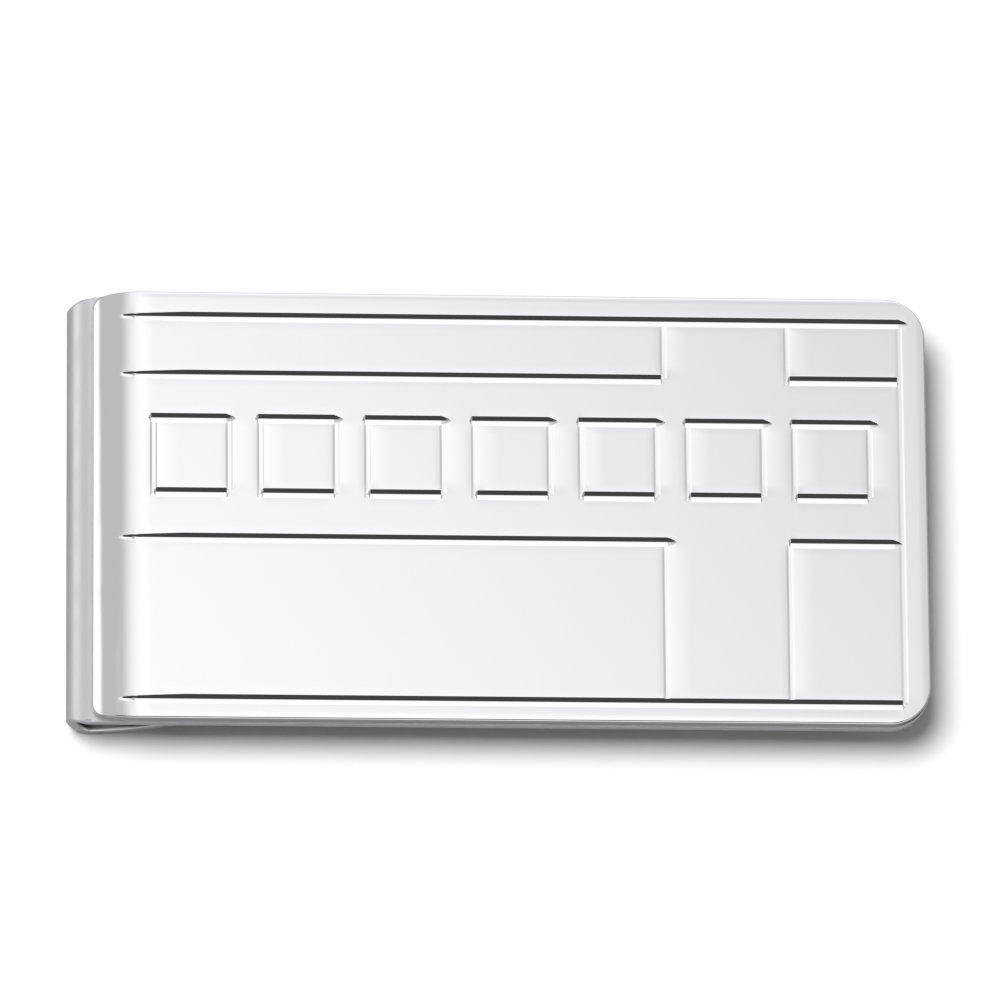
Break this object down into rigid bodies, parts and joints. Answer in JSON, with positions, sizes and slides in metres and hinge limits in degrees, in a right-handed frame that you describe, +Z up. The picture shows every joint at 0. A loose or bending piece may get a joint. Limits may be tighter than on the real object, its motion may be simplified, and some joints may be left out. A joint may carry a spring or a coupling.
{
  "type": "money clip",
  "caption": "Folded spring-steel money clip with a stamped polished face cover and a sprung back leaf that grips folded banknotes.",
  "frame": {"origin": "middle of the clip's plan outline, on the surface that the clip lies on", "axes": "+Z up through the decorated face, +X from the folded end to the open end, Y across the width"},
  "size_m": [0.0526, 0.0272, 0.004],
  "materials": {
    "polished_plate": "mirror polished bright plating",
    "satin_spring": "satin spring steel, plated"
  },
  "bodies": {
    "front": {"front_cover": "polished_plate", "spring_front_arm": "satin_spring", "spring_bend": "satin_spring"},
    "leaf": {"spring_back_leaf": "satin_spring"}
  },
  "joints": [
    {"name": "leaf_flex", "type": "hinge", "parent": "front", "child": "leaf", "pos_m": [-0.0248, 0, 0.0015], "axis": [0, 1, 0], "range_deg": [0, 8], "stiffness_Nm_per_rad": 1, "springref_deg": -5.73, "deforming": ["spring_bend"]}
  ]
}
